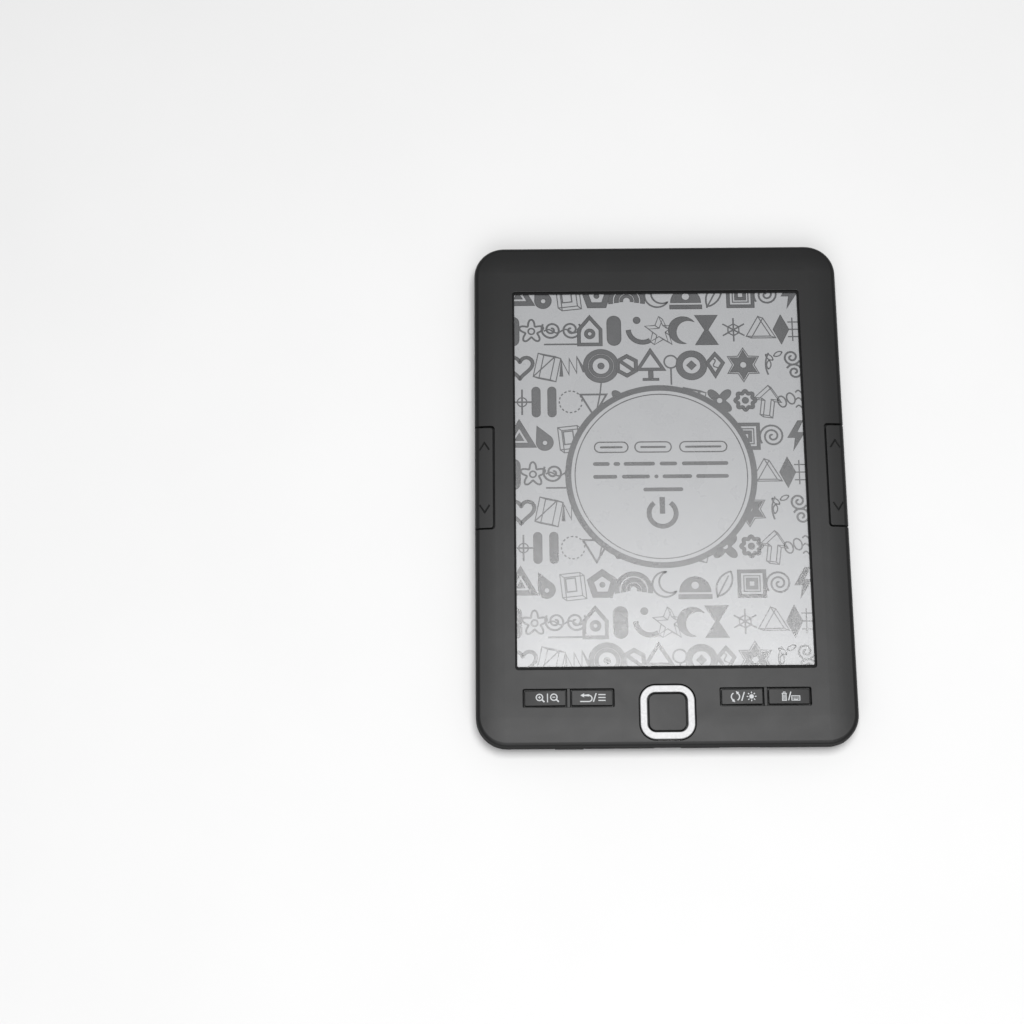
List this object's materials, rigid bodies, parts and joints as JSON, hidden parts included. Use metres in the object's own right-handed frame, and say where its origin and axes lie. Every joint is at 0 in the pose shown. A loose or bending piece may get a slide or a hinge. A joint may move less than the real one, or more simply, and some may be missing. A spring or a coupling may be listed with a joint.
{
  "type": "e-reader",
  "caption": "Slim black e-paper reader with a front light, a square silver direction ring round a confirm key, small front keys in pairs and a page-turn rocker on each long edge.",
  "frame": {"origin": "centre of the bounding box at the table, with the reader lying on its back", "axes": "+Z out of the screen, +Y to the top of the page, +X to the reader's right"},
  "size_m": [0.117, 0.1644, 0.0093],
  "materials": {
    "shell_black": "matte",
    "key_black": "satin",
    "silver_trim": "satin",
    "border_black": "satin",
    "light_guide": "satin",
    "e_paper": "matte",
    "panel_glass": "gloss",
    "lamp_white": "satin",
    "flex_amber": "satin",
    "chip_black": "matte",
    "board_green": "satin",
    "board_black": "satin",
    "connector_ivory": "satin",
    "tray_metal": "satin",
    "steel": "satin",
    "cell_foil": "satin",
    "tape_white": "matte",
    "wire_red": "satin",
    "wire_black": "satin",
    "pad_grey": "matte"
  },
  "bodies": {
    "casing": {"back_cover": "shell_black", "battery_cell": "cell_foil", "battery_circuit": "flex_amber", "battery_connector": "connector_ivory", "battery_lead_black": "wire_black", "battery_lead_red": "wire_red", "battery_tape": "tape_white", "board_chips": "chip_black", "board_connectors": "connector_ivory", "carrier_frame": "tray_metal", "carrier_screws": "steel", "display_drivers": "chip_black", "display_flex": "flex_amber", "display_glass": "panel_glass", "display_mask": "border_black", "dome_back": "steel", "dome_delete": "steel", "dome_light": "steel", "dome_zoom": "steel", "epaper_film": "e_paper", "front_light_flex": "flex_amber", "front_light_leds": "lamp_white", "front_shell": "shell_black", "key_board": "board_black", "key_board_screws": "steel", "light_guide": "light_guide", "link_cable": "tape_white", "main_board": "board_green", "main_board_screws": "steel", "micro_sd_socket": "steel", "micro_usb_shell": "steel", "micro_usb_tongue": "border_black", "nav_centre_dome": "steel", "nav_direction_domes": "steel", "panel_tape": "tape_white", "power_switch": "chip_black", "processor_shield": "steel", "reset_switch": "chip_black", "side_board_left": "board_black", "side_board_right": "board_black", "side_domes_left": "steel", "side_domes_right": "steel", "side_flex_left": "flex_amber", "side_flex_right": "flex_amber", "side_pivot_pins": "steel"},
    "zoom_key": {"key_zoom": "key_black"},
    "back_key": {"key_back": "key_black"},
    "light_key": {"key_light": "key_black"},
    "delete_key": {"key_delete": "key_black"},
    "confirm_key": {"nav_key": "key_black"},
    "direction_cradle": {"nav_pad": "pad_grey"},
    "direction_key": {"nav_rocker": "chip_black", "nav_ring": "silver_trim"},
    "left_page_key": {"side_key_left": "key_black"},
    "right_page_key": {"side_key_right": "key_black"},
    "power_key": {"power_button": "key_black", "power_stem": "connector_ivory"},
    "reset_key": {"reset_plunger": "connector_ivory"},
    "card_slide": {"card_ejector": "chip_black"}
  },
  "joints": [
    {"name": "zoom_press", "type": "slide", "parent": "casing", "child": "zoom_key", "axis": [0, 0, -1], "range_m": [0, 0.0003], "stiffness_N_per_m": 4000, "deforming": ["dome_zoom"]},
    {"name": "back_press", "type": "slide", "parent": "casing", "child": "back_key", "axis": [0, 0, -1], "range_m": [0, 0.0003], "stiffness_N_per_m": 4000, "deforming": ["dome_back"]},
    {"name": "light_press", "type": "slide", "parent": "casing", "child": "light_key", "axis": [0, 0, -1], "range_m": [0, 0.0003], "stiffness_N_per_m": 4000, "deforming": ["dome_light"]},
    {"name": "delete_press", "type": "slide", "parent": "casing", "child": "delete_key", "axis": [0, 0, -1], "range_m": [0, 0.0003], "stiffness_N_per_m": 4000, "deforming": ["dome_delete"]},
    {"name": "confirm_press", "type": "slide", "parent": "casing", "child": "confirm_key", "axis": [0, 0, -1], "range_m": [0, 0.0003], "stiffness_N_per_m": 4000, "deforming": ["nav_centre_dome"]},
    {"name": "direction_up_down", "type": "hinge", "parent": "casing", "child": "direction_cradle", "pos_m": [0, -0.0718, 0.0072], "axis": [-1, 0, 0], "range_deg": [-1.5, 1.5], "stiffness_Nm_per_rad": 0.45, "deforming": ["nav_direction_domes"]},
    {"name": "direction_left_right", "type": "hinge", "parent": "direction_cradle", "child": "direction_key", "pos_m": [0, -0.0718, 0.0072], "axis": [0, 1, 0], "range_deg": [-1.5, 1.5], "stiffness_Nm_per_rad": 0.45, "deforming": ["nav_direction_domes"]},
    {"name": "left_page_rock", "type": "hinge", "parent": "casing", "child": "left_page_key", "pos_m": [-0.05455, 0.00375, 0.007], "axis": [-1, 0, 0], "range_deg": [-1.1, 1.1], "stiffness_Nm_per_rad": 0.9, "deforming": ["side_domes_left"]},
    {"name": "right_page_rock", "type": "hinge", "parent": "casing", "child": "right_page_key", "pos_m": [0.05455, 0.00375, 0.007], "axis": [-1, 0, 0], "range_deg": [-1.1, 1.1], "stiffness_Nm_per_rad": 0.9, "deforming": ["side_domes_right"]},
    {"name": "power_press", "type": "slide", "parent": "casing", "child": "power_key", "axis": [0, 1, 0], "range_m": [0, 0.00035], "stiffness_N_per_m": 4000},
    {"name": "reset_press", "type": "slide", "parent": "casing", "child": "reset_key", "axis": [0, 1, 0], "range_m": [0, 0.00025], "stiffness_N_per_m": 4000},
    {"name": "card_eject", "type": "slide", "parent": "casing", "child": "card_slide", "axis": [0, 1, 0], "range_m": [0, 0.0011], "stiffness_N_per_m": 600}
  ]
}
